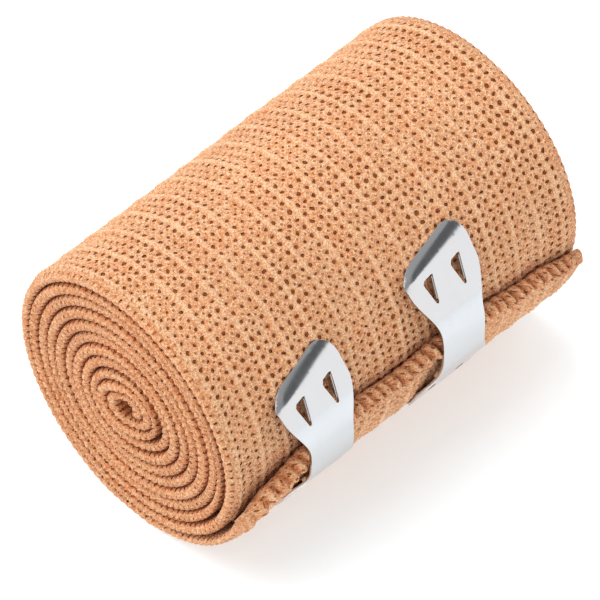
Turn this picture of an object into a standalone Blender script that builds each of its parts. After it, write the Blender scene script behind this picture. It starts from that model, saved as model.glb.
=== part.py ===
"""A crepe bandage 75 mm wide, wound in a roll, with its loose end held by two steel clips.

The roll's axis lies along X and the roll rests on z = 0 on a narrow flat spot. The strip is wound
over the top, down the back, beneath and up the front (-Y), where its thick hemmed end lies.
Angles on the front are elevations: 0 is level with the axis and -90 degrees is straight below it.
Metres, +Z up.
"""
from math import cos, pi, radians, sin, sqrt

import bmesh
import bpy
from mathutils import Vector

# The wound strip
WIDTH = 0.075  # the bandage's width, which is the roll's length
OUTER_RADIUS = 0.0246  # mean radius of the last whole turn's outside, at the -X end
TURNS = 11.25  # winding number at elevation 0 on the loose end
FIRST_TURN = 0.25  # where the strip starts, in turns
CORE_RADIUS = 0.0004  # radius that the winding would have at turn 0
TURN_GAP = 0.0003  # clear space between one turn and the next
STEPS_PER_TURN = 40
CORE_OVAL = 0.0011  # how far the inner turns are flattened
CORE_TILT = radians(150.5)  # direction of the inner turns' long axis, from +Y towards +Z
FULL_OVAL_TURN = 2.0  # the turn by which that flattening is complete
OUTER_OVAL = 0.0004  # the outer turns stand a little taller than they are wide
OUTER_TILT = radians(95.0)
CORE_SHIFT = Vector((0.0, 0.0005, -0.0010))  # the inner turns' centre, from the axis
FAR_SWELL = 0.038  # the +X end is wound this much looser
RIM_SWAY = 0.0003  # how far one turn's edge stands past the next
RIM_SWAY_RATE = 2.4  # radians for each turn
FLAT_DEPTH = 0.0009  # how deep the flat spot is pressed into the round

# The loose end
AXIS_Y = 0.0017  # the axis stands this far behind the middle of the whole roll
LOOSE_START = radians(-73.0)  # elevation at which the loose end leaves the last whole turn
ROLL_END = radians(-74.3)
LOOSE_GAP = 0.0004
SHEET = 0.0018  # thickness of the cloth
BEAD_WIDTH = 0.0039
BEAD_HEIGHT = 0.0033  # at the -X end
FAR_BEAD = 0.0027  # the bead's height at the +X end
NEAR_LIFT = 0.0009  # how far the loose end's -X corner stands off the roll
LIFT_START = 0.005  # that lift fades out between these places along the width
LIFT_END = 0.015
BEAD_BLEND = 0.0024  # length over which the bead runs down into the sheet
BEAD_STEPS = 8
BLEND_STEPS = 3
SHEET_STEPS = 11
EDGE_STATIONS = 20
# The hemmed edge's waves: place along the width from the -X end, and elevation in degrees.
EDGE_WAVES = (
    # along, elevation
    (0.000, -11.0),
    (0.006, -1.0),
    (0.014, 2.0),
    (0.024, 7.0),
    (0.034, 5.0),
    (0.042, 6.5),
    (0.052, 5.0),
    (0.064, 1.5),
    (0.075, -4.5),
)

# The clips
CLIP_LENGTH = 0.0308
CLIP_HEAD = 0.0138
CLIP_WAIST = 0.0089
CLIP_THICKNESS = 0.00045
CLIP_CORNER = 0.0031
HEAD_LEAN = 0.30  # how much farther one corner of a head reaches, for each metre across
LEAN_START = 0.0105  # from the clip's middle
WAIST_STRAIGHT = 0.0026  # half of the straight stretch at the waist
FLARE_END = 0.0104  # distance from the middle at which a head is full width
FLARE_STEPS = 7
CORNER_STEPS = 5
LIP_LENGTH = 0.0017
LIP_DROP = 0.0011
LOWER_LIP = 0.25  # the lower head's lip is this much of the upper head's
BEND_STEP = 0.0021
HOLE_OFFSET = 0.00295  # a tooth hole's middle from the clip's middle line
HOLE_BASE = 0.0024
HOLE_NEAR = 0.0074  # the hole's point, from the clip's middle
HOLE_FAR = 0.0119  # the hole's broad end
HOLE_POINT = 0.0004  # width left at the hole's point
HOLE_SLANT = 0.0010  # how far the hole's straight side slants over its length
TOOTH_THICKNESS = 0.0004
TOOTH_ROOT = 0.0003  # how far a tooth runs up into the plate
TOOTH_HEIGHT = 0.00055  # short enough to leave 0.3 mm to the cloth
BRIDGE_HEIGHT = 0.0042  # the clip's inner face above the last whole turn, over the bead
UPPER_HEIGHT = 0.0016  # the same at the upper head
LOWER_HEIGHT = 0.0031  # the same at the lower head, which lies on the loose end
BRIDGE_FLAT = 0.0026  # half of the stretch over the bead
BRIDGE_FALL = 0.0115  # length over which the clip comes down to its heads
CLIPS = (
    # name, along, elevation in degrees, tilt in degrees
    ("clip_near", 0.0175, -2.8, 3.5),
    ("clip_far", 0.0457, 4.8, -0.5),
)


def material(name, colour, roughness, metallic):
    made = bpy.data.materials.new(name)
    made.use_nodes = True
    shader = made.node_tree.nodes["Principled BSDF"]
    shader.inputs["Base Color"].default_value = (*colour, 1.0)
    shader.inputs["Roughness"].default_value = roughness
    shader.inputs["Metallic"].default_value = metallic
    return made


def cloth():
    return material("crepe_cloth", (0.80, 0.47, 0.28), 0.9, 0.0)


def steel():
    return material("bright_steel", (0.78, 0.79, 0.82), 0.18, 1.0)


def add_object(name, mesh, finish):
    made = bpy.data.objects.new(name, mesh)
    bpy.context.scene.collection.objects.link(made)
    mesh.materials.append(finish)
    mesh.shade_smooth()
    mesh.set_sharp_from_angle(angle=radians(35.0))
    return made


def smooth(share):
    """0 to 1 with level ends."""
    share = min(max(share, 0.0), 1.0)
    return share * share * (3.0 - 2.0 * share)


def read_waves(along):
    """The hemmed edge's elevation at a place along the width."""
    for (start, low), (end, high) in zip(EDGE_WAVES, EDGE_WAVES[1:]):
        if along <= end:
            return radians(low + (high - low) * smooth((along - start) / (end - start)))
    return radians(EDGE_WAVES[-1][1])


# The last whole turn runs from 1 turn to 0.25 turns before TURNS, and 0.6 is its middle.
PITCH = (OUTER_RADIUS + TURN_GAP - CORE_RADIUS) / (TURNS - 0.6 + 1.0)


def inner_radius(turn):
    """Radius of the strip's inner side at a winding number, at the -X end."""
    elevation = (turn - TURNS) * 2.0 * pi
    angle = pi - elevation
    core_share = 1.0 - turn / TURNS
    oval = CORE_OVAL * smooth(turn / FULL_OVAL_TURN) * core_share
    outer = OUTER_OVAL * (turn / TURNS)
    radius = CORE_RADIUS + PITCH * turn
    radius += oval * cos(2.0 * (angle - CORE_TILT))
    radius += outer * cos(2.0 * (angle - OUTER_TILT))
    return radius


def outer_radius(turn):
    return inner_radius(turn + 1.0) - TURN_GAP


def swell(along):
    return 1.0 + FAR_SWELL * along / WIDTH


LOWEST = outer_radius(TURNS - 0.25)


def place(along, turn, radius):
    """The point at a place along the width, a winding number and a radius there at the -X end."""
    elevation = (turn - TURNS) * 2.0 * pi
    grown = swell(along)
    share = max(0.0, 1.0 - turn / TURNS)
    y = (-radius * cos(elevation) + CORE_SHIFT.y * share) * grown
    z = (radius * sin(elevation) + CORE_SHIFT.z * share) * grown
    return Vector((along - WIDTH / 2.0, AXIS_Y + y, LOWEST * grown - FLAT_DEPTH + z))


def turn_at(elevation):
    return TURNS + elevation / (2.0 * pi)


def front(along, elevation, height):
    """A point on the front, at a height above the last whole turn's surface."""
    turn = turn_at(elevation)
    return place(along, turn, outer_radius(turn - 1.0) + height)


def on_floor(point):
    """Presses the flat spot."""
    return Vector((point.x, point.y, max(point.z, 0.0)))


def make_roll(finish):
    """The wound strip as one solid, a section of four corners carried along the spiral."""
    last_turn = turn_at(ROLL_END)
    count = round((last_turn - FIRST_TURN) * STEPS_PER_TURN)
    bm = bmesh.new()
    rings = []
    for step in range(count + 1):
        turn = last_turn - (count - step) / STEPS_PER_TURN
        sway = RIM_SWAY * sin(RIM_SWAY_RATE * turn)
        near, far = RIM_SWAY + sway, WIDTH - RIM_SWAY + sway
        low, high = inner_radius(turn), outer_radius(turn)
        corners = [place(near, turn, low), place(far, turn, low)]
        corners += [place(far, turn, high), place(near, turn, high)]
        rings.append([bm.verts.new(on_floor(corner)) for corner in corners])
    for before, after in zip(rings, rings[1:]):
        for side in range(4):
            following = (side + 1) % 4
            bm.faces.new((before[side], after[side], after[following], before[following]))
    bm.faces.new(rings[0])
    bm.faces.new(reversed(rings[-1]))
    bmesh.ops.recalc_face_normals(bm, faces=bm.faces)
    mesh = bpy.data.meshes.new("roll")
    bm.to_mesh(mesh)
    bm.free()
    return add_object("roll", mesh, finish)


def bead_height(along):
    return BEAD_HEIGHT + (FAR_BEAD - BEAD_HEIGHT) * along / WIDTH


def lift(along, elevation):
    """How far the loose end stands off the roll, most at its -X corner."""
    free = smooth((elevation - LOOSE_START) / (read_waves(along) - LOOSE_START))
    return LOOSE_GAP + NEAR_LIFT * free * (1.0 - smooth((along - LIFT_START) / (LIFT_END - LIFT_START)))


def loose_outline(along):
    """The loose end's section as (elevation, height) pairs: under side, bead and upper side."""
    edge = read_waves(along)
    bead = bead_height(along)
    to_angle = 1.0 / OUTER_RADIUS
    half_width, half_height = BEAD_WIDTH / 2.0, bead / 2.0
    neck = edge - (half_width + BEAD_BLEND) * to_angle
    sheet = [LOOSE_START + (neck - LOOSE_START) * i / SHEET_STEPS for i in range(SHEET_STEPS + 1)]
    outline = [(elevation, 0.0) for elevation in sheet]
    for i in range(BEAD_STEPS + 1):
        around = -pi / 2.0 + pi * i / BEAD_STEPS
        back = half_width * (1.0 - cos(around))
        outline.append((edge - back * to_angle, half_height * (1.0 + sin(around))))
    for i in range(1, BLEND_STEPS):
        share = i / BLEND_STEPS
        back = half_width + BEAD_BLEND * share
        height = bead + (SHEET - bead) * smooth(share)
        outline.append((edge - back * to_angle, height))
    outline += [(elevation, SHEET) for elevation in reversed(sheet)]
    return outline


def make_loose_end(finish):
    """The last quarter turn, which lies on the turn below and ends in the thick hem."""
    bm = bmesh.new()
    rings = []
    for station in range(EDGE_STATIONS + 1):
        along = WIDTH * station / EDGE_STATIONS
        outline = loose_outline(along)
        spots = [front(along, angle, lift(along, angle) + height) for angle, height in outline]
        rings.append([bm.verts.new(spot) for spot in spots])
    for before, after in zip(rings, rings[1:]):
        for side in range(len(before)):
            following = (side + 1) % len(before)
            bm.faces.new((before[side], after[side], after[following], before[following]))
    bm.faces.new(rings[0])
    bm.faces.new(reversed(rings[-1]))
    bmesh.ops.recalc_face_normals(bm, faces=bm.faces)
    mesh = bpy.data.meshes.new("loose_end")
    bm.to_mesh(mesh)
    bm.free()
    return add_object("loose_end", mesh, finish)


def clip_quarter():
    """A quarter of the clip's outline, from the waist to the end of a head."""
    points = [(CLIP_WAIST / 2.0, WAIST_STRAIGHT)]
    for i in range(1, FLARE_STEPS + 1):
        share = i / FLARE_STEPS
        reach = WAIST_STRAIGHT + (FLARE_END - WAIST_STRAIGHT) * share
        points.append((CLIP_WAIST / 2.0 + (CLIP_HEAD - CLIP_WAIST) / 2.0 * smooth(share), reach))
    for i in range(1, CORNER_STEPS + 1):
        around = pi / 2.0 * i / CORNER_STEPS
        across = CLIP_HEAD / 2.0 - CLIP_CORNER * (1.0 - cos(around))
        points.append((across, CLIP_LENGTH / 2.0 - CLIP_CORNER * (1.0 - sin(around))))
    return points


def tooth_holes():
    """The four holes' corners: each has one side nearly along the clip and points to the waist."""
    holes = []
    for head in (1.0, -1.0):
        for middle in (-HOLE_OFFSET, HOLE_OFFSET):
            straight = middle + HOLE_BASE / 2.0
            corners = [
                (straight, HOLE_FAR),
                (straight - HOLE_BASE, HOLE_FAR),
                (straight - HOLE_SLANT - HOLE_POINT, HOLE_NEAR),
                (straight - HOLE_SLANT, HOLE_NEAR),
            ]
            holes.append([(head * across, head * reach) for across, reach in corners])
    return holes


def clip_height(back):
    """The clip's inner face above the roll, at a distance above the bead's middle."""
    end = UPPER_HEIGHT if back > 0.0 else LOWER_HEIGHT
    share = smooth((abs(back) - BRIDGE_FLAT) / BRIDGE_FALL)
    return BRIDGE_HEIGHT + (end - BRIDGE_HEIGHT) * share


def lip_drop(reach):
    drop = LIP_DROP if reach > 0.0 else LIP_DROP * LOWER_LIP
    share = max(0.0, (abs(reach) - CLIP_LENGTH / 2.0 + LIP_LENGTH) / LIP_LENGTH)
    return drop * (1.0 - sqrt(max(0.0, 1.0 - min(share, 1.0) ** 2)))


def lean(across, reach):
    """A head's end isn't square: one corner reaches farther from the middle than the other."""
    share = smooth((abs(reach) - LEAN_START) / (CLIP_LENGTH / 2.0 - LEAN_START))
    return reach + HEAD_LEAN * across * share


def clip_spot(across, reach, depth, along, elevation, tilt):
    """Bends a point of the flat clip over the bead; depth is measured inwards."""
    leant = lean(across, reach)
    place_along = along + across * cos(tilt) - leant * sin(tilt)
    climb = (across * sin(tilt) + leant * cos(tilt)) / OUTER_RADIUS
    bead = read_waves(along) - BEAD_WIDTH / 2.0 / OUTER_RADIUS
    back = (elevation + climb - bead) * OUTER_RADIUS
    height = clip_height(back) - lip_drop(reach) - depth
    return front(place_along, elevation + climb, height)


def add_loop(bm, points):
    verts = [bm.verts.new((across, reach, 0.0)) for across, reach in points]
    return [bm.edges.new((verts[i - 1], verts[i])) for i in range(len(verts))]


def make_clip_plate(seat):
    quarter = clip_quarter()
    outline = list(quarter)
    outline += [(-across, reach) for across, reach in reversed(quarter)]
    outline += [(-across, -reach) for across, reach in quarter]
    outline += [(across, -reach) for across, reach in reversed(quarter)]
    bm = bmesh.new()
    edges = add_loop(bm, outline)
    for hole in tooth_holes():
        edges += add_loop(bm, hole)
    bmesh.ops.triangle_fill(bm, use_beauty=True, edges=edges)
    cuts = int(CLIP_LENGTH / 2.0 / BEND_STEP)
    for cut in range(-cuts, cuts + 1):
        everything = bm.verts[:] + bm.edges[:] + bm.faces[:]
        spot = (0.0, cut * BEND_STEP, 0.0)
        bmesh.ops.bisect_plane(bm, geom=everything, dist=1e-6, plane_co=spot, plane_no=(0.0, 1.0, 0.0))
    for vert in bm.verts:
        vert.co = clip_spot(vert.co.x, vert.co.y, 0.0, *seat)
    bmesh.ops.recalc_face_normals(bm, faces=bm.faces)
    if sum((face.normal.y for face in bm.faces)) > 0.0:
        bmesh.ops.reverse_faces(bm, faces=bm.faces)
    mesh = bpy.data.meshes.new("clip_plate")
    bm.to_mesh(mesh)
    bm.free()
    return mesh


def make_teeth(seat):
    """The four teeth, each bent in along its hole's straight side."""
    bm = bmesh.new()
    for head in (1.0, -1.0):
        for middle in (-HOLE_OFFSET, HOLE_OFFSET):
            inner = middle + HOLE_BASE / 2.0 - TOOTH_ROOT
            profile = (
                # back across, reach, depth
                (0.0, HOLE_FAR, -TOOTH_ROOT),
                (0.0, HOLE_FAR - 0.1 * HOLE_BASE, TOOTH_HEIGHT),
                (HOLE_SLANT, HOLE_NEAR, -TOOTH_ROOT),
            )
            sides = []
            for across in (inner, inner + TOOTH_ROOT + TOOTH_THICKNESS / 2.0):
                side = []
                for slant, reach, depth in profile:
                    spot = clip_spot(head * (across - slant), head * reach, depth, *seat)
                    side.append(bm.verts.new(spot))
                sides.append(side)
            faces = [bm.faces.new(sides[0]), bm.faces.new(reversed(sides[1]))]
            for i in range(3):
                corners = (sides[0][i - 1], sides[1][i - 1], sides[1][i], sides[0][i])
                faces.append(bm.faces.new(corners))
            bmesh.ops.recalc_face_normals(bm, faces=faces)
    mesh = bpy.data.meshes.new("teeth")
    bm.to_mesh(mesh)
    bm.free()
    return mesh


def make_clip(name, along, elevation, tilt, finish):
    seat = (along, radians(elevation), radians(tilt))
    clip = add_object(name, make_clip_plate(seat), finish)
    wall = clip.modifiers.new("plate", "SOLIDIFY")
    wall.thickness = CLIP_THICKNESS
    wall.offset = 1.0
    teeth = add_object(name + "_teeth", make_teeth(seat), finish)
    teeth.hide_render = True
    teeth.display_type = "WIRE"
    union = clip.modifiers.new("teeth", "BOOLEAN")
    union.operation = "UNION"
    union.solver = "EXACT"
    union.object = teeth
    return clip


def clear_scene():
    for item in list(bpy.data.objects):
        bpy.data.objects.remove(item, do_unlink=True)


def main():
    clear_scene()
    fabric = cloth()
    metal = steel()
    make_roll(fabric)
    make_loose_end(fabric)
    for name, along, elevation, tilt in CLIPS:
        make_clip(name, along, elevation, tilt, metal)


main()
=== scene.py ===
"""A crepe bandage roll with its two clips: the looks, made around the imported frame.

Metres, +Z up. The roll's axis lies along X, the loose end and the clips are on the -Y side.
Angles on the front are elevations: 0 is level with the axis, -90 degrees is straight below it.
"""

from math import cos, pi, radians, sin

import bmesh
import bpy
import numpy as np
from bpy.props import FloatProperty, FloatVectorProperty, IntProperty, PointerProperty
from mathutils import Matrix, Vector


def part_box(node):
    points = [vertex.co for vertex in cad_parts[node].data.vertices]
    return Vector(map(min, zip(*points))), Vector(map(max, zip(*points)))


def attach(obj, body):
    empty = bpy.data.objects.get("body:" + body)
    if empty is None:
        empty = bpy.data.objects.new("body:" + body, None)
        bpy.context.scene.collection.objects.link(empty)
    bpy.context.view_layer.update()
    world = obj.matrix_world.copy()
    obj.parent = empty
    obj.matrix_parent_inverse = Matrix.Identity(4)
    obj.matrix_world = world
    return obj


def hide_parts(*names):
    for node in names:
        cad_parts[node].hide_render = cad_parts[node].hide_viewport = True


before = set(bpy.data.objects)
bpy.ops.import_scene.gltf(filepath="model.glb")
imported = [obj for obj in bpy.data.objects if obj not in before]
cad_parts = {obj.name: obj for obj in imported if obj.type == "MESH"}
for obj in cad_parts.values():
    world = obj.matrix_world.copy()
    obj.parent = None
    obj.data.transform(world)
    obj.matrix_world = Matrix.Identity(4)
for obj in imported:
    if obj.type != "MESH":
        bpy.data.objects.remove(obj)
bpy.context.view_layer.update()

bl_info = {
    "name": "Crepe Bandage Roll",
    "version": (1, 0, 0),
    "blender": (4, 5, 0),
    "location": "View3D > Sidebar > Bandage",
    "description": "Makes a wound crepe bandage, its hemmed loose end and the clips that hold it",
    "category": "Add Mesh",
}

ROLL_LOW, ROLL_HIGH = (Vector(corner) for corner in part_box("roll"))

# The winding, as in the frame
WIDTH = ROLL_HIGH.x - ROLL_LOW.x
OUTER_RADIUS = 0.0246
TURNS = 11.25
FIRST_TURN = 0.25
CORE_RADIUS = 0.0004
TURN_GAP = 0.0003
CORE_OVAL = 0.0011
CORE_TILT = radians(150.5)
FULL_OVAL_TURN = 2.0
OUTER_OVAL = 0.0004
OUTER_TILT = radians(95.0)
CORE_SHIFT = (0.0005, -0.0010)
FAR_SWELL = 0.038
FLAT_DEPTH = 0.0009
AXIS_Y = 0.0017
SIZED_TURN = TURNS - 0.6  # the turn whose outer side is at OUTER_RADIUS
PITCH = (OUTER_RADIUS + TURN_GAP - CORE_RADIUS) / (SIZED_TURN + 1.0)

# The loose end, placed as in the frame but of a thinner sheet
LOOSE_START = radians(-73.0)
LOOSE_GAP = 0.0004
SHEET = 0.0014
BEAD_WIDTH = 0.0039
BEAD_HEIGHT = 0.0033
FAR_BEAD = 0.0027
NEAR_LIFT = 0.0009
LIFT_START = 0.005
LIFT_END = 0.015
BEAD_BLEND = 0.0024
# The hemmed edge's waves: place along the width from the -X end, and elevation in degrees.
EDGE_WAVES = (
    # along, elevation
    (0.000, -11.0),
    (0.006, -1.0),
    (0.014, 2.0),
    (0.024, 7.0),
    (0.034, 5.0),
    (0.042, 6.5),
    (0.052, 5.0),
    (0.064, 1.5),
    (0.075, -4.5),
)

# The split between the two cloth pieces lies under the loose end, this far below level.
SPLIT = radians(-24.0)

# The clips, as in the frame
CLIP_LENGTH = 0.0308
CLIP_HEAD = 0.0138
CLIP_WAIST = 0.0089
CLIP_CORNER = 0.0031
HEAD_LEAN = 0.30  # how much farther one corner of a head reaches, for each metre across
LEAN_START = 0.0105
WAIST_STRAIGHT = 0.0026
FLARE_END = 0.0104
HOLE_OFFSET = 0.00295
HOLE_BASE = 0.0024
HOLE_NEAR = 0.0074
HOLE_FAR = 0.0119
HOLE_SLANT = 0.0010
CLIPS = (
    # name, node, along, elevation in degrees, tilt in degrees
    ("clip_near_bright", "clip_near", 0.0175, -2.8, 3.5),
    ("clip_far_bright", "clip_far", 0.0457, 4.8, -0.5),
)


def smooth(share):
    """0 to 1 with level ends, for a number or an array."""
    share = np.clip(share, 0.0, 1.0)
    return share * share * (3.0 - 2.0 * share)


def read_waves(along):
    """The hemmed edge's elevation at places along the width."""
    along = np.asarray(along, float)
    found = np.full(along.shape, radians(EDGE_WAVES[0][1]))
    for (start, low), (end, high) in zip(EDGE_WAVES, EDGE_WAVES[1:]):
        wave = np.radians(low + (high - low) * smooth((along - start) / (end - start)))
        found = np.where(along > start, wave, found)
    return found


def inner_radius(turn):
    """Radius of the cloth's inner side at a winding number, at the -X end."""
    angle = pi - (turn - TURNS) * 2.0 * pi
    oval = CORE_OVAL * smooth(turn / FULL_OVAL_TURN) * (1.0 - turn / TURNS)
    outer = OUTER_OVAL * turn / TURNS
    radius = CORE_RADIUS + PITCH * turn + oval * np.cos(2.0 * (angle - CORE_TILT))
    return radius + outer * np.cos(2.0 * (angle - OUTER_TILT))


def outer_radius(turn):
    return inner_radius(turn + 1.0) - TURN_GAP


STRAIGHT_BELOW = TURNS - 0.25
LOWEST = float(outer_radius(np.array(STRAIGHT_BELOW)))


def place(along, turn, radius):
    """Points at places along the width, winding numbers and radii measured at the -X end."""
    elevation = (turn - TURNS) * 2.0 * pi
    grown = 1.0 + FAR_SWELL * along / WIDTH
    share = np.maximum(0.0, 1.0 - turn / TURNS)
    y = (-radius * np.cos(elevation) + CORE_SHIFT[0] * share) * grown
    z = (radius * np.sin(elevation) + CORE_SHIFT[1] * share) * grown
    z = np.maximum(LOWEST * grown - FLAT_DEPTH + z, 0.0)
    return np.stack([along + ROLL_LOW.x + 0.0 * z, AXIS_Y + y, z], axis=-1)


def front(along, elevation, height):
    """Points on the front at heights above the last whole turn's surface."""
    turn = TURNS + elevation / (2.0 * pi)
    return place(along, turn, outer_radius(turn - 1.0) + height)


def bead_height(along):
    return BEAD_HEIGHT + (FAR_BEAD - BEAD_HEIGHT) * along / WIDTH


def lift(along, elevation):
    """How far the loose end stands off the roll, most at its -X corner."""
    free = smooth((elevation - LOOSE_START) / (read_waves(along) - LOOSE_START))
    near_corner = 1.0 - smooth((along - LIFT_START) / (LIFT_END - LIFT_START))
    return LOOSE_GAP + NEAR_LIFT * free * near_corner


# ---------------------------------------------------------------- sizes and colours


class BandageCloth(bpy.types.PropertyGroup):
    """The crepe's mesh, its edges and its colours."""

    cell: FloatProperty(
        name="Cell", description="Pitch of the mesh's holes", default=0.00165, unit="LENGTH"
    )
    hole_depth: FloatProperty(
        name="Hole depth", description="How deep the largest holes go",
        default=0.00042, unit="LENGTH",
    )
    selvedge: FloatProperty(
        name="Selvedge", description="Width of the plain edge", default=0.0017, unit="LENGTH"
    )
    rope_pitch: FloatProperty(
        name="Edge loops", description="Pitch of the loops along the edges",
        default=0.0015, unit="LENGTH",
    )
    pucker: FloatProperty(
        name="Pucker", description="Pitch of the hem's puckers", default=0.0021, unit="LENGTH"
    )
    columns_per_cell: IntProperty(
        name="Columns per cell", description="Mesh columns for each hole",
        default=4, subtype="UNSIGNED",
    )
    tan: FloatVectorProperty(
        name="Tan", description="The yarn's main colour",
        size=3, subtype="COLOR", default=(0.68, 0.33, 0.155),
    )
    pale: FloatVectorProperty(
        name="Pale", description="The yarn's lighter flecks",
        size=3, subtype="COLOR", default=(0.93, 0.62, 0.39),
    )
    # painted shade: the dark colour of the holes and specks stands in for the shaded layer seen
    # through them
    hole_shade: FloatVectorProperty(
        name="Hole shade", description="The yarn deep in a hole",
        size=3, subtype="COLOR", default=(0.33, 0.085, 0.016),
    )


class BandageClips(bpy.types.PropertyGroup):
    """The clips' sheet and finish."""

    thickness: FloatProperty(
        name="Sheet", description="Thickness of the steel", default=0.00045, unit="LENGTH"
    )
    grid: FloatProperty(
        name="Grid", description="Mesh size on the plate", default=0.00045, unit="LENGTH"
    )
    steel: FloatVectorProperty(
        name="Steel", description="The steel's colour",
        size=3, subtype="COLOR", default=(0.64, 0.64, 0.65),
    )


class BandageStage(bpy.types.PropertyGroup):
    """The camera, the lights and the floor."""

    azimuth: FloatProperty(
        name="Azimuth", description="Camera's turn about Z", default=radians(-44.3), subtype="ANGLE"
    )
    elevation: FloatProperty(
        name="Elevation", description="Camera's height angle",
        default=radians(49.3), subtype="ANGLE",
    )
    distance: FloatProperty(
        name="Distance", description="Camera's distance", default=0.8, unit="LENGTH"
    )
    key: FloatProperty(
        name="Key light", description="Power of the main soft light", default=12.4, min=0.0
    )
    sky: FloatProperty(
        name="Sky", description="Brightness all round", default=1.27, min=0.0
    )


# ---------------------------------------------------------------- materials

# Pattern sizes, in grains or waves to the metre
YARN_GRAIN = 3000.0
RAGGED_GRAIN = 3200.0
PATCH_GRAIN = 320.0
FADE_GRAIN = 45.0
ROLLING_LINES = 9000.0
STEEL_CLOUDS = 260.0
SCUFF_GRAIN = 2600.0
BOARD_GRAIN = 500.0

# Relief that the shading adds
HOLE_BUMP = 0.00045
YARN_BUMP = 0.00025
ROLLING_BUMP = 0.000004

# The knit's marks, measured from the middle of a cell in shares of the cell
HOLE_REACH = 0.165  # for a hole of size 1
HOLE_EDGE = (0.050, -0.035)
SPECK_EDGE = (0.17, 0.05)
THREAD_EDGE = (0.36, 0.58)
EDGE_WOBBLE = 0.11
HALF_CELL = 0.5

WHITE = (1.0, 1.0, 1.0)
NEAR_BLACK = (0.04, 0.045, 0.05)


def add_node(tree, kind, **settings):
    node = tree.nodes.new(kind)
    for name, value in settings.items():
        setattr(node, name, value)
    return node


def link(tree, source, target):
    tree.links.new(source, target)


def is_socket(value):
    return isinstance(value, bpy.types.NodeSocket)


def feed(tree, value, socket):
    """Links a socket to an input, or sets the input to a plain value."""
    if is_socket(value):
        link(tree, value, socket)
    else:
        socket.default_value = value


def attribute(tree, name):
    return add_node(tree, "ShaderNodeAttribute", attribute_name=name)


def math_node(tree, operation, *values):
    """The result of a Math node whose inputs are numbers or sockets."""
    node = add_node(tree, "ShaderNodeMath", operation=operation)
    for socket, value in zip(node.inputs, values):
        feed(tree, value, socket)
    return node.outputs[0]


def vector_node(tree, operation, *values):
    """The result of a Vector Math node whose inputs are vectors or sockets."""
    node = add_node(tree, "ShaderNodeVectorMath", operation=operation)
    for socket, value in zip(node.inputs, values):
        feed(tree, value, socket)
    number = operation in {"LENGTH", "DOT_PRODUCT"}
    return node.outputs["Value" if number else "Vector"]


def mix_colour(tree, factor, first, second, blend="MIX"):
    node = add_node(tree, "ShaderNodeMix", data_type="RGBA", blend_type=blend)
    feed(tree, factor, node.inputs[0])
    for slot, colour in ((6, first), (7, second)):
        feed(tree, colour if is_socket(colour) else (*colour, 1.0), node.inputs[slot])
    return node.outputs[2]


def multiply_colour(tree, first, second):
    return mix_colour(tree, 1.0, first, second, "MULTIPLY")


def step_between(tree, value, low, high):
    node = add_node(tree, "ShaderNodeMapRange", interpolation_type="SMOOTHSTEP")
    link(tree, value, node.inputs["Value"])
    node.inputs["From Min"].default_value = low
    node.inputs["From Max"].default_value = high
    return node.outputs["Result"]


def noise(tree, vector, scale, detail=2.0, roughness=0.5):
    node = add_node(tree, "ShaderNodeTexNoise")
    link(tree, vector, node.inputs["Vector"])
    node.inputs["Scale"].default_value = scale
    node.inputs["Detail"].default_value = detail
    node.inputs["Roughness"].default_value = roughness
    return node.outputs["Fac"]


def grain_group():
    """Fine grain on a surface: a height and a mask, shared by cloth, steel and floor."""
    if "surface_grain" in bpy.data.node_groups:
        return bpy.data.node_groups["surface_grain"]
    group = bpy.data.node_groups.new("surface_grain", "ShaderNodeTree")
    face = group.interface
    face.new_socket("Place", in_out="INPUT", socket_type="NodeSocketVector")
    size = face.new_socket("Grains per metre", in_out="INPUT", socket_type="NodeSocketFloat")
    size.default_value = 1000.0
    face.new_socket("Height", in_out="OUTPUT", socket_type="NodeSocketFloat")
    face.new_socket("Fleck", in_out="OUTPUT", socket_type="NodeSocketFloat")
    given = add_node(group, "NodeGroupInput")
    out = add_node(group, "NodeGroupOutput")
    cells = add_node(group, "ShaderNodeTexVoronoi", feature="SMOOTH_F1")
    link(group, given.outputs["Place"], cells.inputs["Vector"])
    link(group, given.outputs["Grains per metre"], cells.inputs["Scale"])
    cells.inputs["Smoothness"].default_value = 0.35
    fuzz = add_node(group, "ShaderNodeTexNoise")
    link(group, given.outputs["Place"], fuzz.inputs["Vector"])
    doubled = math_node(group, "MULTIPLY", given.outputs["Grains per metre"], 2.3)
    link(group, doubled, fuzz.inputs["Scale"])
    fuzz.inputs["Detail"].default_value = 2.0
    domes = math_node(group, "SUBTRACT", 1.0, cells.outputs["Distance"])
    height = math_node(group, "MULTIPLY_ADD", fuzz.outputs["Fac"], 0.55, domes)
    link(group, height, out.inputs["Height"])
    tone = add_node(group, "ShaderNodeSeparateColor")
    link(group, cells.outputs["Color"], tone.inputs["Color"])
    tones = math_node(group, "MULTIPLY", tone.outputs[0], 0.4)
    fleck = math_node(group, "MULTIPLY_ADD", fuzz.outputs["Fac"], 0.6, tones)
    link(group, fleck, out.inputs["Fleck"])
    return group


def use_grain(tree, vector, size):
    node = add_node(tree, "ShaderNodeGroup", node_tree=grain_group())
    link(tree, vector, node.inputs["Place"])
    node.inputs["Grains per metre"].default_value = size
    return node


def new_material(name):
    made = bpy.data.materials.new(name)
    made.use_nodes = True
    return made, made.node_tree, made.node_tree.nodes["Principled BSDF"]


def bump(tree, height, distance, strength=1.0, normal=None):
    node = add_node(tree, "ShaderNodeBump")
    node.inputs["Strength"].default_value = strength
    node.inputs["Distance"].default_value = distance
    link(tree, height, node.inputs["Height"])
    if normal is not None:
        link(tree, normal, node.inputs["Normal"])
    return node.outputs["Normal"]


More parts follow.
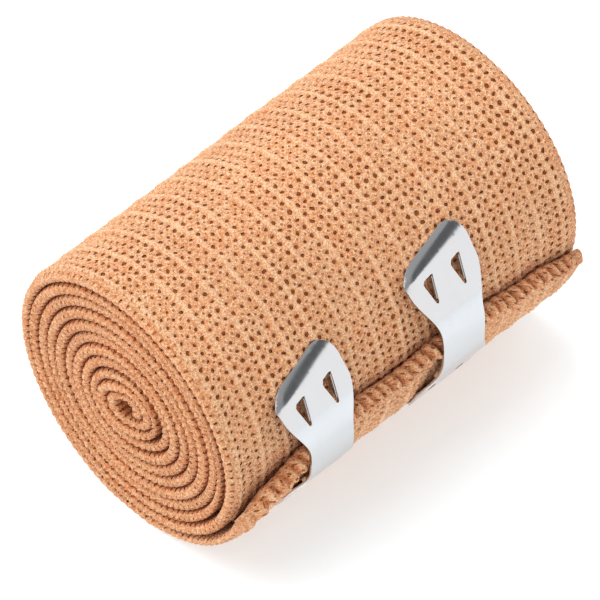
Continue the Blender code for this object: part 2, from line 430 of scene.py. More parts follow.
def knit_masks(tree, knit, ragged):
    """Masks of the round holes and the fine specks between them, which get painted shade, and of
    the threads, from the row, column and hole size.
    """
    size = add_node(tree, "ShaderNodeSeparateXYZ")
    link(tree, knit, size.inputs["Vector"])
    present = step_between(tree, size.outputs["Z"], 0.1, 0.4)
    wobble = math_node(tree, "MULTIPLY", math_node(tree, "SUBTRACT", ragged, 0.5), EDGE_WOBBLE)
    reaches = []
    for offset in (0.0, HALF_CELL):
        moved = vector_node(tree, "ADD", knit, (offset, offset, 0.0))
        cell = vector_node(tree, "FRACTION", moved)
        centred = vector_node(tree, "SUBTRACT", cell, (HALF_CELL, HALF_CELL, 0.0))
        level = vector_node(tree, "MULTIPLY", centred, (1.0, 1.0, 0.0))
        reach = vector_node(tree, "LENGTH", level)
        reaches.append(math_node(tree, "ADD", reach, wobble))
    from_hole, from_speck = reaches
    hole_reach = math_node(tree, "MULTIPLY", size.outputs["Z"], HOLE_REACH)
    beyond = math_node(tree, "SUBTRACT", from_hole, hole_reach)
    marks = ((beyond, HOLE_EDGE), (from_speck, SPECK_EDGE), (from_hole, THREAD_EDGE))
    return [
        math_node(tree, "MULTIPLY", step_between(tree, reach, *edge), present)
        for reach, edge in marks
    ]


def crepe(cloth):
    """Knitted cotton crepe: pebbly yarn with flecks, and painted shade, darker and redder, in its
    holes, pits, grooves and crevices.
    """
    made, tree, shader = new_material("crepe_knit")
    flat = attribute(tree, "flat").outputs["Vector"]
    hollow = attribute(tree, "hollow").outputs["Fac"]
    line = attribute(tree, "line").outputs["Fac"]
    knit = attribute(tree, "knit").outputs["Vector"]
    stitches = use_grain(tree, flat, YARN_GRAIN)
    ragged = noise(tree, flat, RAGGED_GRAIN, detail=1.0)
    patches = noise(tree, flat, PATCH_GRAIN, detail=3.0, roughness=0.6)
    broad = noise(tree, flat, FADE_GRAIN, detail=2.0)

    # holes and pits, with ragged edges: masks for the painted shade
    uneven = math_node(tree, "SUBTRACT", ragged, 0.5)
    depth = math_node(tree, "MULTIPLY_ADD", uneven, 0.22, hollow)
    round_hole, speck, thread = knit_masks(tree, knit, ragged)
    hole = math_node(tree, "MAXIMUM", step_between(tree, depth, 0.34, 0.66), round_hole)

    # the yarn: tan to pale flecks, in warmer and more faded patches
    fleck = step_between(tree, stitches.outputs["Fleck"], 0.16, 0.84)
    fleck = math_node(tree, "MULTIPLY_ADD", thread, 0.35, fleck)
    # painted shade: the fine specks pull the yarn towards tan
    fleck = math_node(tree, "SUBTRACT", fleck, math_node(tree, "MULTIPLY", speck, 0.8))
    fleck = math_node(tree, "MINIMUM", fleck, 1.0)
    yarn = mix_colour(tree, math_node(tree, "MAXIMUM", fleck, 0.0), cloth.tan, cloth.pale)
    in_patch = step_between(tree, patches, 0.35, 0.75)
    yarn = multiply_colour(tree, yarn, mix_colour(tree, in_patch, WHITE, (1.0, 0.87, 0.80)))
    fading = step_between(tree, broad, 0.3, 0.7)
    faded = mix_colour(tree, fading, (0.95, 0.94, 0.93), (1.03, 1.02, 1.01))
    yarn = multiply_colour(tree, yarn, faded)

    # painted shade where the cloth is sunk, in pits, grooves and valleys; paler along its raised
    # lines
    in_pit = math_node(tree, "MULTIPLY", step_between(tree, hollow, 0.03, 0.42), 0.55)
    sunk = math_node(tree, "MAXIMUM", step_between(tree, line, 0.0, -1.0), in_pit)
    yarn = mix_colour(tree, sunk, yarn, multiply_colour(tree, yarn, (0.80, 0.54, 0.38)))
    raised = math_node(tree, "MULTIPLY", step_between(tree, line, 0.35, 0.95), 0.74)
    yarn = mix_colour(tree, raised, yarn, cloth.pale)
    # painted shade in the fine specks between the holes, less on the raised lines
    between_lines = math_node(tree, "MULTIPLY", math_node(tree, "SUBTRACT", 1.0, raised), 0.34)
    hole = math_node(tree, "MAXIMUM", hole, math_node(tree, "MULTIPLY", speck, between_lines))

    # painted shade in the crevices between the stitches, then the painted hole shade over it all
    crevice = step_between(tree, stitches.outputs["Height"], 0.50, 0.98)
    yarn = mix_colour(tree, crevice, multiply_colour(tree, yarn, (0.80, 0.60, 0.45)), yarn)
    link(tree, mix_colour(tree, hole, yarn, cloth.hole_shade), shader.inputs["Base Color"])
    rough = add_node(tree, "ShaderNodeMapRange")
    link(tree, fleck, rough.inputs["Value"])
    rough.inputs["To Min"].default_value = 0.95
    rough.inputs["To Max"].default_value = 0.82
    link(tree, rough.outputs["Result"], shader.inputs["Roughness"])
    dug = bump(tree, math_node(tree, "SUBTRACT", 1.0, hole), HOLE_BUMP)
    pebbly = bump(tree, stitches.outputs["Height"], YARN_BUMP, normal=dug)
    link(tree, pebbly, shader.inputs["Normal"])
    shader.inputs["Sheen Weight"].default_value = 0.15
    shader.inputs["Sheen Tint"].default_value = (1.0, 0.86, 0.78, 1.0)
    shader.inputs["Sheen Roughness"].default_value = 0.5
    shader.inputs["Specular IOR Level"].default_value = 0.12
    return made


def steel(clips):
    """Bright rolled steel: faint rolling lines along the clip and a few fine scuffs."""
    made, tree, shader = new_material("bright_steel")
    flat = attribute(tree, "flat").outputs["Vector"]
    stretch = add_node(tree, "ShaderNodeMapping")
    link(tree, flat, stretch.inputs["Vector"])
    stretch.inputs["Scale"].default_value = (1.0, 0.05, 1.0)
    lines = noise(tree, stretch.outputs["Vector"], ROLLING_LINES, detail=2.0)
    clouds = noise(tree, flat, STEEL_CLOUDS, detail=3.0)
    scuffs = use_grain(tree, stretch.outputs["Vector"], SCUFF_GRAIN)
    dull = math_node(tree, "MULTIPLY_ADD", clouds, 0.10, math_node(tree, "MULTIPLY", lines, 0.10))
    dull = math_node(tree, "ADD", dull, 0.10)
    worn = step_between(tree, scuffs.outputs["Fleck"], 0.62, 0.80)
    roughness = math_node(tree, "MULTIPLY_ADD", worn, 0.06, dull)
    link(tree, roughness, shader.inputs["Roughness"])
    tint = mix_colour(tree, clouds, clips.steel, [0.94 * part for part in clips.steel])
    link(tree, tint, shader.inputs["Base Color"])
    link(tree, bump(tree, lines, ROLLING_BUMP), shader.inputs["Normal"])
    shader.inputs["Metallic"].default_value = 1.0
    return made


def floor_paint():
    """A white board that gives off a little light of its own."""
    made, tree, shader = new_material("white_board")
    where = add_node(tree, "ShaderNodeTexCoord")
    grain = use_grain(tree, where.outputs["Object"], BOARD_GRAIN)
    tone = step_between(tree, grain.outputs["Fleck"], 0.2, 0.9)
    paint = mix_colour(tree, tone, (0.69, 0.72, 0.74), (0.71, 0.74, 0.76))
    link(tree, paint, shader.inputs["Base Color"])
    shader.inputs["Roughness"].default_value = 0.6
    shader.inputs["Specular IOR Level"].default_value = 0.2
    shader.inputs["Emission Color"].default_value = (0.94, 1.0, 1.02, 1.0)
    shader.inputs["Emission Strength"].default_value = 0.40
    return made


# ---------------------------------------------------------------- cloth


def add_piece(name, bm, finish):
    """Makes the object, at the origin and with its place in its mesh."""
    mesh = bpy.data.meshes.new(name)
    bm.to_mesh(mesh)
    bm.free()
    mesh.materials.append(finish)
    mesh.shade_smooth()
    made = bpy.data.objects.new(name, mesh)
    bpy.context.scene.collection.objects.link(made)
    return made


def sleeve(name, spots, flat, knit, hollow, line, finish):
    """A closed strip from arrays [station, column]: a grid whose columns go once round the section.

    The last column repeats the first and is welded to it, and both open ends are filled."""
    stations, columns = hollow.shape
    bm = bmesh.new()
    flat_layer = bm.verts.layers.float_vector.new("flat")
    knit_layer = bm.verts.layers.float_vector.new("knit")
    hollow_layer = bm.verts.layers.float.new("hollow")
    line_layer = bm.verts.layers.float.new("line")
    bmesh.ops.create_grid(bm, x_segments=stations - 1, y_segments=columns - 1, size=1.0)
    bm.verts.ensure_lookup_table()
    grid = [[None] * columns for _ in range(stations)]
    for vert in bm.verts:
        station = round((vert.co.x + 1.0) / 2.0 * (stations - 1))
        column = round((vert.co.y + 1.0) / 2.0 * (columns - 1))
        grid[station][column] = vert
        vert.co = spots[station, column]
    for station, row in enumerate(grid):
        for column, vert in enumerate(row):
            vert[flat_layer] = flat[station, column]
            vert[knit_layer] = knit[station, column]
            vert[hollow_layer] = hollow[station, column]
            vert[line_layer] = line[station, column]
    bmesh.ops.weld_verts(bm, targetmap={row[-1]: row[0] for row in grid})
    ends = [edge for edge in bm.edges if edge.is_boundary]
    bmesh.ops.holes_fill(bm, edges=ends, sides=0)
    bmesh.ops.recalc_face_normals(bm, faces=bm.faces)
    return add_piece(name, bm, finish)


def wander(values, seed):
    """A slow, uneven sway between about -1 and 1."""
    total = np.sin(values * 1.0 + seed)
    for weight, pace, shift in ((0.6, 2.3, 1.7), (0.4, 5.1, 2.9)):
        total = total + weight * np.sin(values * pace + shift * seed)
    return total / 2.0


RIM_STEPS = 8
RIM_DEPTH = 0.00066  # how far the rounded edge reaches along the axis
RIM_GROOVE = 0.00009  # a shallow dip down the middle of the edge
SET_BACK = 0.4  # how far behind the last turn the others stay, in shares of RIM_DEPTH
ROPE_RISE = 0.00030  # the edge loops' height along the axis
ROPE_SWELL = 0.00016  # and across the cloth
RIM_SWAY = 0.00035
STATIONS_PER_LOOP = 5.0
LENGTH_STEPS = 6000  # steps in which the wound strip's length is measured
LAST_TURN_STEPS = 800
INNER_INSET = 0.0018  # the flat sides of the inner turns start this far in
OUTER_INSET = 0.0008  # and those of the last turn
LAST_RISE, LAST_SWELL = 0.6, 1.3  # the last turn's loops, in shares of the others'

# The clear space inside a turn, and outside it at least and where it is uneven
CLEAR_INSIDE = 0.00002
TIGHT = 0.00003
UNEVEN = 0.00007
OPEN_TURNS = (
    # winding number, spread in turns, space: beside the core
    (2.35, 0.22, 0.0008),
    (3.1, 0.12, 0.0003),
)
LAST_SPACE = 0.00070  # under the last turn
LAST_OPENS, OPENS_OVER = TURNS - 2.20, 0.2
LAST_CLOSES, CLOSES_OVER = TURNS - 1.95, 0.45


def rim_sway(turn, seed):
    """Where the cloth's edge lies along the axis, from turn to turn."""
    return RIM_SWAY * wander(turn * 2.4, seed)


def slack(turn):
    """Clear space outside a turn: tight, but open beside the core and inside the last turn."""
    space = TIGHT
    for middle, spread, width in OPEN_TURNS:
        space = space + np.exp(-(((turn - middle) / spread) ** 2)) * width
    opened = smooth((turn - LAST_OPENS) / OPENS_OVER)
    closed = smooth((turn - LAST_CLOSES) / CLOSES_OVER)
    space = space + opened * (1.0 - closed) * LAST_SPACE
    return space + UNEVEN * (1.0 + wander(turn * 4.7, 2.0))


def arc_lengths(turns, middle):
    """Length of the strip's middle line up to each station."""
    spots = place(np.zeros_like(turns), turns, middle)
    steps = np.linalg.norm(np.diff(spots, axis=0), axis=1)
    return np.concatenate([[0.0], np.cumsum(steps)])


def section_columns(outer_along, inner_count):
    """The section's columns as (side, share) arrays, starting and ending inside the inner side.

    side: 0 inner, 1 +X edge, 2 outer, 3 -X edge. share: place along the width for 0 and 2,
    and the angle round the edge, from -90 degrees at the inner side, for 1 and 3."""
    half = np.linspace(0.5, 1.0, inner_count + 1)[:-1]
    edge = np.linspace(-pi / 2.0, pi / 2.0, RIM_STEPS + 1)
    parts = [
        (0, half),
        (1, edge),
        (2, outer_along[::-1]),
        (3, edge[::-1]),
        (0, 1.0 - half[::-1]),
        (0, np.array([0.5])),
    ]
    sides = np.concatenate([np.full(len(shares), side) for side, shares in parts])
    return sides, np.concatenate([shares for _, shares in parts])


def edge_rope(length, around, pitch, seed):
    """Loops of yarn along the edge: a slanted swell, between 0 and 1."""
    phase = 2.0 * pi * length / pitch + 1.1 * np.sin(around) + 0.7 * wander(length * 260.0, seed)
    return 0.5 + 0.5 * np.cos(phase)


def wound_turns(cloth):
    """The turns inside: fine along both edges, plain between them where nothing shows."""
    last = TURNS - 1.0 + SPLIT / (2.0 * pi)
    # stations at even steps of length, so the edge loops keep their size at every turn
    fine = np.linspace(FIRST_TURN, last, LENGTH_STEPS)
    fine_length = arc_lengths(fine, 0.5 * (inner_radius(fine) + inner_radius(fine + 1.0)))
    total = fine_length[-1]
    count = int(total / (cloth.rope_pitch / STATIONS_PER_LOOP))
    length = np.linspace(0.0, total, count + 1)
    turn = np.interp(length, fine_length, fine)[:, None]
    length = length[:, None]
    sides, shares = section_columns(np.array([0.04, 0.5, 0.96]), 2)
    sides, shares = sides[None, :], shares[None, :]
    low = inner_radius(turn) + CLEAR_INSIDE
    high = inner_radius(turn + 1.0) - slack(turn)
    thick = high - low
    near, far = rim_sway(turn, 0.4), rim_sway(turn, 3.1)
    round_edge = (sides == 1) | (sides == 3)
    around = np.where(round_edge, shares, np.where(sides == 2, pi / 2.0, -pi / 2.0))
    seed = np.where(sides == 1, 5.0, 1.0)
    rope = edge_rope(length + 0.0 * shares, around, cloth.rope_pitch, seed)
    onrim = np.cos(around)
    reach = RIM_DEPTH * (1.0 - onrim) - ROPE_RISE * rope * onrim
    along = np.where(
        sides == 3,
        near + reach + RIM_DEPTH * SET_BACK,
        np.where(sides == 1, WIDTH + far - reach - RIM_DEPTH * SET_BACK, 0.0),
    )
    along = np.where(round_edge, along, INNER_INSET + (WIDTH - 2.0 * INNER_INSET) * shares)
    height = 0.5 + 0.5 * np.sin(around)
    groove = RIM_GROOVE * np.cos(2.0 * around)
    along = along - np.where(sides == 3, groove, 0.0) + np.where(sides == 1, groove, 0.0)
    pinch = ROPE_SWELL * (1.0 - rope) * np.sin(around)
    pinch = np.where(round_edge, pinch, np.sign(np.sin(around)) * ROPE_SWELL * 0.5)
    radius = low + thick * height - pinch
    spots = place(along, turn + 0.0 * shares, radius)
    flat = np.stack([length + 0.0 * shares, along, radius - low], axis=-1)
    # painted shade: pits between the edge loops, rows of dots on the rims, a darker groove where
    # each turn meets the next, and half of it on the flat sides, where nothing shows
    pits = (1.0 - rope) ** 3 * np.abs(np.sin(around)) ** 2
    half_on = length + 0.5 * cloth.rope_pitch + 0.0 * shares
    offbeat = edge_rope(half_on, around, cloth.rope_pitch, seed + 2.0)
    dots = (1.0 - offbeat) ** 4 * onrim**4
    hollow = np.where(round_edge, 0.92 * pits + 0.60 * dots, 0.5)
    line = np.where(round_edge, -0.9 * np.abs(np.sin(around)) ** 4, 0.0) + 0.0 * hollow
    made = sleeve("wound_turns", spots, flat, 0.0 * flat, hollow, line, crepe(cloth))
    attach(made, "root")
    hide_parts("roll")
    return made


LINE_EVERY = 3  # a raised pale line runs beside every third column of holes
PIT_SHADE = 0.33  # how far the pits darken the yarn round the holes
HOLE_SEED, DRIFT_SEED = 7, 11
LEAST_HOLE, HOLE_SPREAD = 0.72, 0.42
HOLE_LIMITS = (0.55, 1.3)
EDGE_HOLE = 1.1  # the size of those beside the selvedges
PIT_BESIDE, PIT_CORNER = 0.30, 0.12  # a pit's depth at the vertices round its middle
COLUMN_RIDGE = 0.00027
ROW_RIDGE = 0.00013
LOW_RIDGE = 0.35  # the other columns' ridges, in shares of a raised line's
BROAD_RISE = 0.00022
DRIFT = 0.12  # how far rows and columns stray, in shares of a cell
DRIFT_LIMIT = 1.4
CALM_EDGE = 0.004  # and less this near to the cloth's edges
LOOSENS_OVER = 0.12  # the angle over which the loose end leaves the roll, in radians

BEAD_STATIONS = 10
BLEND_STATIONS = 3
HEM_ROW = 0.28  # knit rows between stations round the hem
HEM_SLANT = 0.45  # how far the hem's rows slant, in columns for each row
HEM_DRAW = 0.009  # how much shorter the gathered hem is than the cloth
HEM_EASE = 6.0  # stations over which it draws in
HEM_STEP = 0.0005  # the yarn's pattern moves on this far at each station
UNDER_BEAD = 0.0006  # how far in the hem's under side is drawn together
BEAD_END, BEAD_GROWTH = 0.80, 0.20  # the bead's share of its height at its ends, and the rest
BEAD_ENDS_OVER = 0.006
PUCKER_ENDS_OVER = 0.004
PUCKER_LEVEL = 0.78
PUCKER_DEPTH = 0.00165


def mesh_of_holes(cells_long, cells_wide, per_cell):
    """Each cell's own size of hole, in an array with a row and column for each vertex."""
    rows = np.arange(cells_long)[:, None]
    columns = np.arange(cells_wide)[None, :]
    chance = np.random.default_rng(HOLE_SEED).random((cells_long, cells_wide))
    size = LEAST_HOLE + HOLE_SPREAD * chance
    bands = 0.14 * np.sin(rows * 0.37 + 1.9 * np.sin(columns * 0.23))
    size += bands + 0.10 * np.sin(columns * 0.9 + rows * 0.11)
    size *= np.where(columns % LINE_EVERY == 0, 0.86, 1.06)
    size = np.clip(size, *HOLE_LIMITS)
    size[:, 0] = size[:, -1] = EDGE_HOLE
    full = np.zeros((cells_long * per_cell + 1, cells_wide * per_cell + 1))
    middle = per_cell // 2
    full[middle::per_cell, middle::per_cell] = size
    edge = np.pad(size, ((0, 2), (0, 2)), mode="edge")
    return rounded(full, PIT_BESIDE, PIT_CORNER), edge


def between(values, count, per_cell):
    """Reads rows given once a cell at every vertex, easing from each to the next."""
    spot = np.arange(count) / per_cell
    low = spot.astype(int)
    share = smooth(spot - low).reshape((-1,) + (1,) * (values.ndim - 1))
    return values[low] * (1.0 - share) + values[low + 1] * share


def between_both(values, stations, columns, per_cell):
    """The same along the strip and then across it."""
    along = between(values, stations, per_cell)
    return between(along.swapaxes(0, 1), columns, per_cell).swapaxes(0, 1)


def rounded(values, beside, corner):
    """Spreads shares of each vertex's value to those beside it and at its corners."""
    padded = np.pad(values, 1, mode="edge")
    sides = padded[:-2, 1:-1] + padded[2:, 1:-1] + padded[1:-1, :-2] + padded[1:-1, 2:]
    corners = padded[:-2, :-2] + padded[:-2, 2:] + padded[2:, :-2] + padded[2:, 2:]
    return values + beside * sides + corner * corners


def outer_turn(cloth):
    """The last whole turn with its mesh of holes, the loose end and the thick puckered hem."""
    per_cell = cloth.columns_per_cell
    first = TURNS - 1.0 + SPLIT / (2.0 * pi)
    plain = np.linspace(first, TURNS, LAST_TURN_STEPS)
    plain_length = arc_lengths(plain, outer_radius(plain) - SHEET / 2.0)
    cells_wide = int((WIDTH - 2.0 * cloth.selvedge) / cloth.cell)
    cells_long = int(plain_length[-1] / cloth.cell)
    holes, cells = mesh_of_holes(cells_long, cells_wide, per_cell)
    stations, across = holes.shape
    share_wide = np.linspace(0.0, 1.0, across)
    selvedge = np.array([0.0, 0.5])  # two plain columns before the first holes
    wide = (cloth.selvedge + (WIDTH - 2.0 * cloth.selvedge) * share_wide) / WIDTH
    edge_part = selvedge * cloth.selvedge / WIDTH * 0.6 + 0.4 * cloth.selvedge / WIDTH
    outer_along = np.concatenate([edge_part, wide, 1.0 - edge_part[::-1]])
    sides, shares = section_columns(outer_along, 2)
    sides, shares = sides[None, :], shares[None, :]
    columns = sides.shape[1]
    outside = sides == 2
    round_edge = (sides == 1) | (sides == 3)
    around = np.where(round_edge, shares, np.where(outside, pi / 2.0, -pi / 2.0))

    # holes for every column, zero where there is no mesh
    hollow = np.zeros((stations, columns))
    body = np.zeros(columns, bool)
    start = int(np.argmax(sides[0] == 2)) + len(selvedge)
    body[start:start + across] = True
    hollow[:, body] = holes[:, ::-1]

    # where each station lies: even steps from the split to the neck, where the hem starts
    neck_back = (BEAD_WIDTH / 2.0 + BEAD_BLEND) / OUTER_RADIUS
    nominal = np.where(sides == 3, 0.0, np.where(sides == 1, 1.0, shares))
    along = nominal * WIDTH
    run = np.linspace(0.0, 1.0, stations)[:, None]
    edge = read_waves(along)
    pitch_turns = 1.0 / (2.0 * pi)
    neck_turn = TURNS + (edge - neck_back) * pitch_turns
    turn = first + (neck_turn - first) * run

    # uneven knitting: rows and columns drift a little
    drift = cloth.cell * DRIFT
    coarse_shape = (stations // per_cell + 3, columns // per_cell + 3, 2)
    coarse = np.random.default_rng(DRIFT_SEED).normal(size=coarse_shape)
    local = np.clip(between_both(coarse, stations, columns, per_cell), -DRIFT_LIMIT, DRIFT_LIMIT)
    calm = smooth(np.minimum(nominal, 1.0 - nominal) * WIDTH / CALM_EDGE)
    turn = turn + drift * 0.8 * local[..., 0] * calm * outside / OUTER_RADIUS * pitch_turns
    along = along + drift * 0.8 * local[..., 1] * calm * outside
    along = along + cloth.cell * 0.10 * wander(run * 40.0, 0.3) * calm * outside

    elevation = (turn - TURNS) * 2.0 * pi
    under = outer_radius(turn - 1.0)
    loose = smooth((elevation - LOOSE_START + LOOSENS_OVER) / LOOSENS_OVER)
    stand = lift(nominal * WIDTH, elevation) * loose
    base = inner_radius(turn) + (under + stand - inner_radius(turn)) * loose
    top_plain = inner_radius(turn + 1.0) - TURN_GAP
    top = top_plain + (under + stand + SHEET - top_plain) * loose

    # relief of the outer side
    length = np.interp(turn, plain, plain_length)
    column_phase = np.zeros(columns)
    column_phase[body] = np.arange(across)[::-1] / per_cell
    on_line = np.round(column_phase) % LINE_EVERY == 0
    ridge = (0.5 + 0.5 * np.cos(2.0 * pi * column_phase)) * np.where(on_line, 1.0, LOW_RIDGE)
    rows_phase = np.arange(stations)[:, None] / per_cell
    row_ridge = 0.5 + 0.5 * np.cos(2.0 * pi * rows_phase)
    relief = COLUMN_RIDGE * ridge[None, :] + ROW_RIDGE * row_ridge
    relief = relief - cloth.hole_depth * hollow
    swell = wander(run * 17.0 + 3.0 * nominal, 1.2)
    relief = relief + BROAD_RISE * swell * wander(nominal * 7.0, 0.6)
    top = top + np.where(outside, relief * np.where(body, 1.0, 0.0)[None, :], 0.0)

    # rounded edges with their loops
    rope = edge_rope(length, around, cloth.rope_pitch, 2.2)
    onrim = np.cos(around)
    reach = RIM_DEPTH * (1.0 - onrim) - LAST_RISE * ROPE_RISE * rope * onrim
    along = np.where(sides == 3, reach, np.where(sides == 1, WIDTH - reach, along))
    along = np.where(sides == 0, OUTER_INSET + (WIDTH - 2.0 * OUTER_INSET) * shares, along)
    height = 0.5 + 0.5 * np.sin(around)
    radius = base + (top - base) * height
    pinched = radius - ROPE_SWELL * LAST_SWELL * (1.0 - rope) * np.sin(around)
    radius = np.where(round_edge, pinched, radius)
    spots = place(along, turn, radius)

    # the hem: more stations round its outline
    hem = hem_rows(cloth, sides, nominal, around, along[-1:], length[-1:])
    hem_spots, hem_flat, hem_hollow, hem_line = hem
    flat = np.stack([length, along, radius - base], axis=-1)
    # painted shade in the pits between the edge loops; the knit's own pits darken the yarn by
    # PIT_SHADE
    loops = np.where(round_edge, 0.75 * (1.0 - rope) ** 3 * np.abs(np.sin(around)), 0.0)
    hollow = np.clip(hollow + loops, 0.0, 1.2)
    hollow[:, body] *= PIT_SHADE
    spots = np.concatenate([spots, hem_spots])
    flat = np.concatenate([flat, hem_flat])
    hollow = np.concatenate([hollow, hem_hollow])
    line = np.zeros(hollow.shape)
    line[:stations] = np.where(body & on_line, ridge, 0.0)[None, :]
    line[stations:] = hem_line

    # each vertex's row, column and size of hole
    last_row = rows_phase[-1, 0]
    hem_row = last_row + np.arange(1, len(hem_spots) + 1) * HEM_ROW
    row = np.concatenate([rows_phase[:, 0], hem_row])[:, None]
    on_hem = np.maximum(row - last_row, 0.0)
    size = np.where(body, 1.0, 0.0)[None, :] * (1.0 - 0.25 * smooth(on_hem / 0.6))
    size[:stations, body] *= between_both(cells[:, ::-1], stations, across, per_cell)
    column = column_phase[None, :] + HEM_SLANT * on_hem
    knit = np.stack([row + 0.0 * size, column, size], axis=-1)
    made = sleeve("outer_turn", spots, flat, knit, hollow, line, bpy.data.materials["crepe_knit"])
    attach(made, "root")
    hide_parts("loose_end")
    return made


def hem_rows(cloth, sides, nominal, around, along, length):
    """Stations round the hem: up over the bead, round its nose and back beneath it."""
    along = np.where(sides == 2, nominal * WIDTH, along)
    place_along = nominal * WIDTH
    edge = read_waves(place_along)
    from_ends = np.minimum(nominal, 1.0 - nominal) * WIDTH
    grown = BEAD_END + BEAD_GROWTH * smooth(from_ends / BEAD_ENDS_OVER)
    bead = bead_height(place_along) * grown
    half_width, half_height = BEAD_WIDTH / 2.0, bead / 2.0
    side_share = np.where(sides == 2, 1.0, np.where(sides == 0, 0.0, 0.5 + 0.5 * np.sin(around)))
    spots, flats, hollows, lines = [], [], [], []
    steps = [("blend", (i + 1) / (BLEND_STATIONS + 1.0)) for i in range(BLEND_STATIONS)]
    steps += [("nose", i / (BEAD_STATIONS + 2.0)) for i in range(BEAD_STATIONS + 2)]
    for number, (kind, share) in enumerate(steps):
        if kind == "blend":
            back = low_back = half_width + BEAD_BLEND * (1.0 - share)
            high = SHEET + (bead - SHEET) * smooth(share)
        else:
            turn_round = pi / 2.0 - pi * share
            back = half_width * (1.0 - np.cos(turn_round))
            high = half_height * (1.0 + np.sin(turn_round))
            low_back = half_width + UNDER_BEAD * (1.0 - share)
        slant = place_along / cloth.pucker + 0.5 * number / 6.0  # half a pucker in six stations
        swell = np.abs(np.cos(pi * slant + 0.6 * wander(place_along * 190.0, 0.7)))
        strength = np.sin(pi * (number + 1.0) / (len(steps) + 1.0)) ** 0.6
        strength = strength * smooth(from_ends / PUCKER_ENDS_OVER)
        uneven = 1.0 + 0.3 * wander(place_along * 310.0, 1.9)
        gathered = (swell - PUCKER_LEVEL) * PUCKER_DEPTH * uneven * strength
        back = back - 0.35 * gathered
        high = high + gathered * np.where(high > half_height, 1.0, 0.5)
        elevation_top = edge - back / OUTER_RADIUS
        elevation_low = edge - low_back / OUTER_RADIUS
        elevation = elevation_low + (elevation_top - elevation_low) * side_share
        height = high * side_share + lift(place_along, elevation)
        drawn = along * (1.0 - HEM_DRAW * smooth((number + 1.0) / HEM_EASE))
        spots.append(front(drawn, elevation, height))
        ahead = length + HEM_STEP * (number + 1)
        flats.append(np.stack([ahead, along, height], axis=-1))
        # painted shade: stitch pits on the bead's outside, a little on its other sides, and darker
        # valleys between the puckers
        stitch = np.clip(np.cos(2.0 * pi * place_along / cloth.cell + 2.4 * number), 0.0, 1.0) ** 2
        pit = (0.62 * stitch if number % 3 == 1 else 0.0) * strength
        hollows.append(np.where(sides == 2, pit, 0.25))
        lines.append(-1.25 * (1.0 - swell) * strength)
    return tuple(np.concatenate(rows) for rows in (spots, flats, hollows, lines))


# ---------------------------------------------------------------- clips

BRIDGE_HEIGHT = 0.0035
UPPER_HEIGHT = 0.0013
LOWER_HEIGHT = 0.0021
BRIDGE_FLAT = 0.0026
UPPER_FALL = 0.0115
LOWER_FALL = 0.0076
LIP_LENGTH = 0.0026  # how wide a rim curls in
LIP_DROP = 0.0014
CURL_START = 0.0075  # from the clip's middle: no curl beside the waist
CURL_END = 0.0145
SIDE_CURL = 0.75  # share of the curl that turns the corner
FLARE_STEPS = 14
CORNER_STEPS = 9
HOLE_ROUND = 0.0004
TOOTH_HEIGHT = 0.0022
TOOTH_THICKNESS = 0.0004
TOOTH_SINK = 0.0001  # how far a tooth reaches into the sheet beside and above it
LOWER_LIP = 0.3  # the lower rims' drop, in shares of the upper rims'
CUT_MERGE = 1e-6
SHARP = radians(50.0)
EDGE_ROUND = 0.00012


def clip_quarter():
    """A quarter of the clip's outline, from the waist to the end of a head."""
    points = [(CLIP_WAIST / 2.0, WAIST_STRAIGHT)]
    for i in range(1, FLARE_STEPS + 1):
        share = i / FLARE_STEPS
        reach = WAIST_STRAIGHT + (FLARE_END - WAIST_STRAIGHT) * share
        flare = (CLIP_HEAD - CLIP_WAIST) / 2.0 * float(smooth(share))
        points.append((CLIP_WAIST / 2.0 + flare, reach))
    for i in range(1, CORNER_STEPS + 1):
        around = pi / 2.0 * i / CORNER_STEPS
        across = CLIP_HEAD / 2.0 - CLIP_CORNER * (1.0 - cos(around))
        points.append((across, CLIP_LENGTH / 2.0 - CLIP_CORNER * (1.0 - sin(around))))
    return points


def tooth_holes():
    """The four holes' corners: each has one side along the clip and points to the waist."""
    holes = []
    for head in (1.0, -1.0):
        for middle in (-HOLE_OFFSET, HOLE_OFFSET):
            straight = middle + HOLE_BASE / 2.0
            left = straight - HOLE_BASE
            corners = [
                (straight, HOLE_FAR - 0.2 * HOLE_ROUND),
                (straight - HOLE_ROUND, HOLE_FAR),
                (left + 1.4 * HOLE_ROUND, HOLE_FAR - 0.6 * HOLE_ROUND),
                (left + 0.3 * HOLE_ROUND, HOLE_FAR - 2.0 * HOLE_ROUND),
                (left + 0.4 * HOLE_ROUND, HOLE_FAR - 3.4 * HOLE_ROUND),
                (straight - HOLE_SLANT - 1.3 * HOLE_ROUND, HOLE_NEAR + 0.4 * HOLE_ROUND),
                (straight - HOLE_SLANT - 0.6 * HOLE_ROUND, HOLE_NEAR),
                (straight - HOLE_SLANT, HOLE_NEAR + 0.4 * HOLE_ROUND),
            ]
            holes.append([(head * across, head * reach) for across, reach in corners])
    return holes


def lean(across, reach):
    """A head's end isn't square: one corner reaches farther from the middle than the other."""
    share = float(smooth((abs(reach) - LEAN_START) / (CLIP_LENGTH / 2.0 - LEAN_START)))
    return reach + HEAD_LEAN * across * share


def curl(across, reach):
    """0 on the plate to 1 at a head's rim, along its end and round its nearer corner."""
    flare = float(smooth((abs(reach) - WAIST_STRAIGHT) / (FLARE_END - WAIST_STRAIGHT)))
    near_head = float(smooth((abs(reach) - CURL_START) / (CURL_END - CURL_START)))
    side = (CLIP_WAIST + (CLIP_HEAD - CLIP_WAIST) * flare) / 2.0 - abs(across)
    side += LIP_LENGTH * (1.0 - near_head)
    end = CLIP_LENGTH / 2.0 - abs(reach)
    turned = SIDE_CURL if across * reach < 0.0 else 0.0
    into = Vector((turned * max(0.0, LIP_LENGTH - side), max(0.0, LIP_LENGTH - end)))
    return min(1.0, into.length / LIP_LENGTH)


